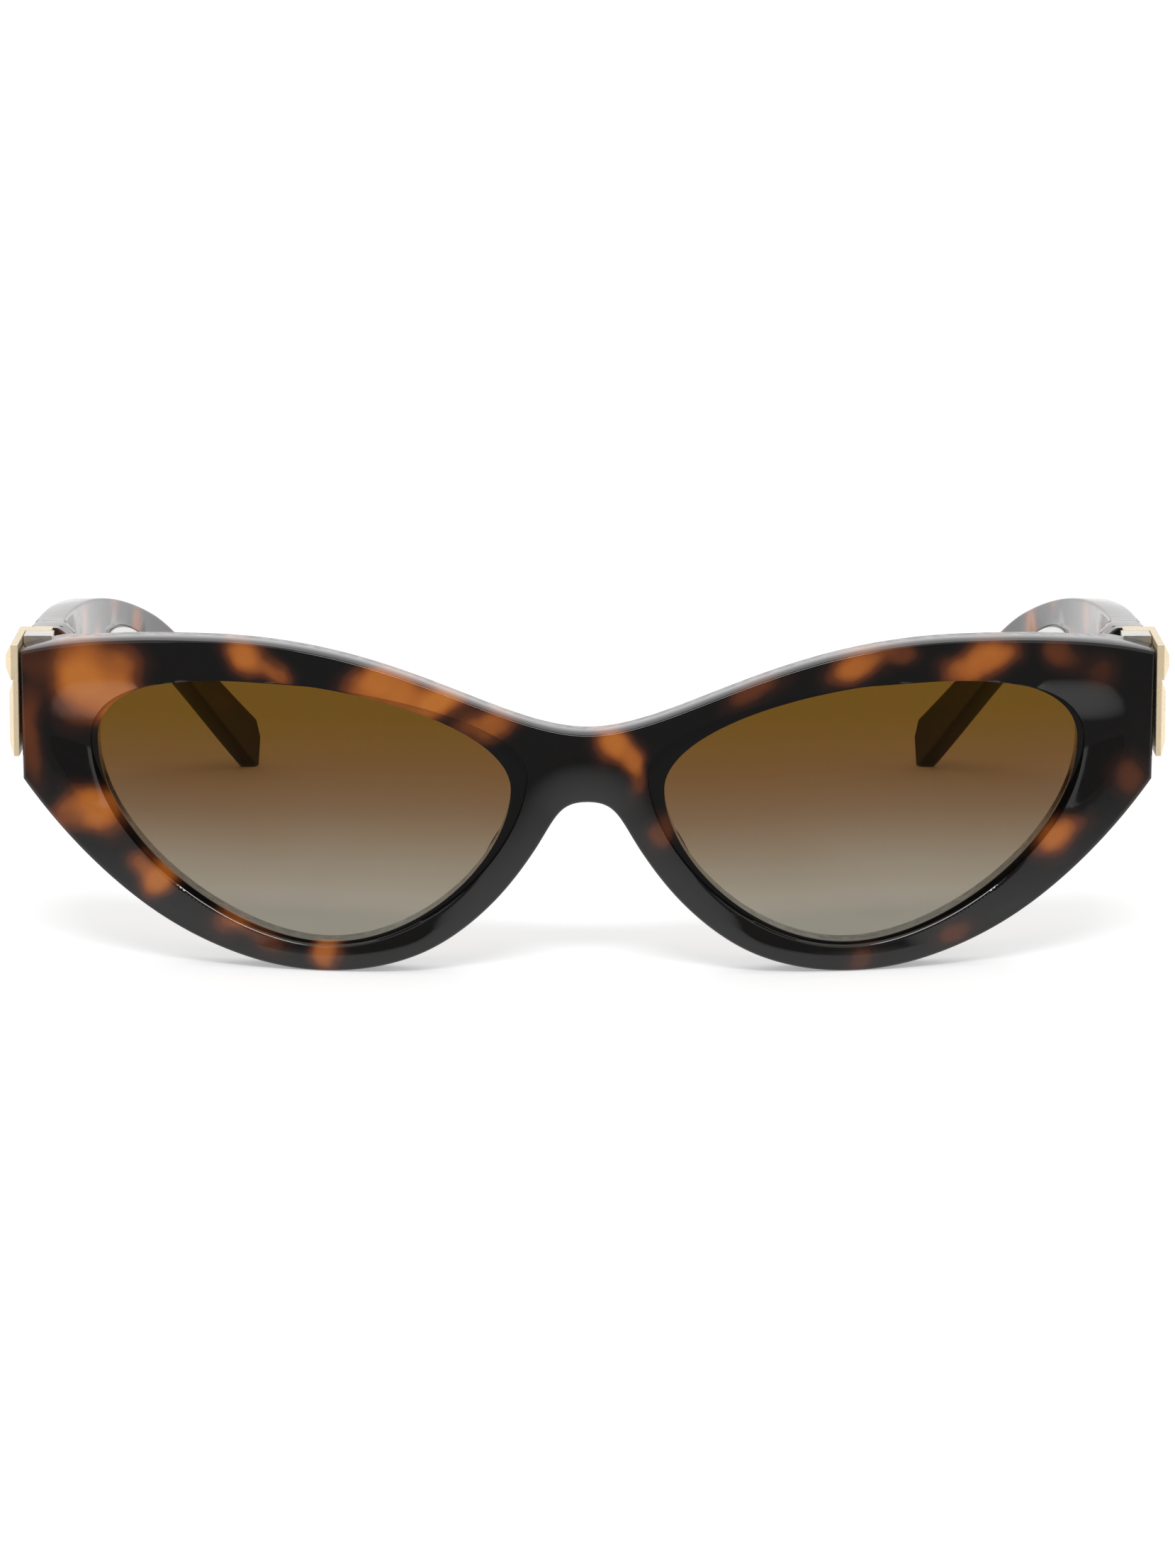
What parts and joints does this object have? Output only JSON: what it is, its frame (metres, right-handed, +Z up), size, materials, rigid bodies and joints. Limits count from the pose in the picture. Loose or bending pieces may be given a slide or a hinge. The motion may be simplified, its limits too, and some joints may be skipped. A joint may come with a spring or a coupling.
{
  "type": "cat eye sunglasses",
  "caption": "Cat eye sunglasses: bent acetate front, tinted lenses, folding temples on screwed metal hinges with faceted corner brackets.",
  "frame": {"origin": "centre of the box round the whole object, at the height of the surface it stands on", "axes": "+X to the wearer's left, +Y from the front back along the temples, +Z up"},
  "size_m": [0.1446, 0.1474, 0.041],
  "materials": {
    "acetate_tortoise": "polished tortoise acetate",
    "tinted_lens": "brown gradient tint",
    "hinge_steel": "satin",
    "rivet_steel": "polished",
    "washer_brass": "satin",
    "screw_steel": "turned",
    "wire_steel": "drawn wire",
    "gold_metal": "polished pale gold plate",
    "polished_inlay": "polished"
  },
  "bodies": {
    "front": {"front_frame": "acetate_tortoise", "lens_left": "tinted_lens", "lens_right": "tinted_lens", "nose_pad_left": "acetate_tortoise", "nose_pad_right": "acetate_tortoise", "front_leaf_left": "hinge_steel", "front_leaf_right": "hinge_steel", "leaf_rivets_left": "rivet_steel", "leaf_rivets_right": "rivet_steel", "hinge_washers_left": "washer_brass", "hinge_washers_right": "washer_brass", "hinge_screw_left": "screw_steel", "hinge_screw_right": "screw_steel"},
    "left_arm": {"temple_left": "acetate_tortoise", "core_wire_left": "wire_steel", "temple_leaf_left": "hinge_steel", "temple_rivets_left": "rivet_steel", "hinge_bracket_left": "gold_metal", "bracket_screws_left": "screw_steel", "inlay_left": "polished_inlay"},
    "right_arm": {"temple_right": "acetate_tortoise", "core_wire_right": "wire_steel", "temple_leaf_right": "hinge_steel", "temple_rivets_right": "rivet_steel", "hinge_bracket_right": "gold_metal", "bracket_screws_right": "screw_steel", "inlay_right": "polished_inlay"}
  },
  "joints": [
    {"name": "left_temple_fold", "type": "hinge", "parent": "front", "child": "left_arm", "pos_m": [0.0642, -0.0487, 0.0325], "axis": [0, 0, 1], "range_deg": [0, 86]},
    {"name": "right_temple_fold", "type": "hinge", "parent": "front", "child": "right_arm", "pos_m": [-0.0642, -0.0487, 0.0325], "axis": [0, 0, -1], "range_deg": [0, 79]}
  ]
}
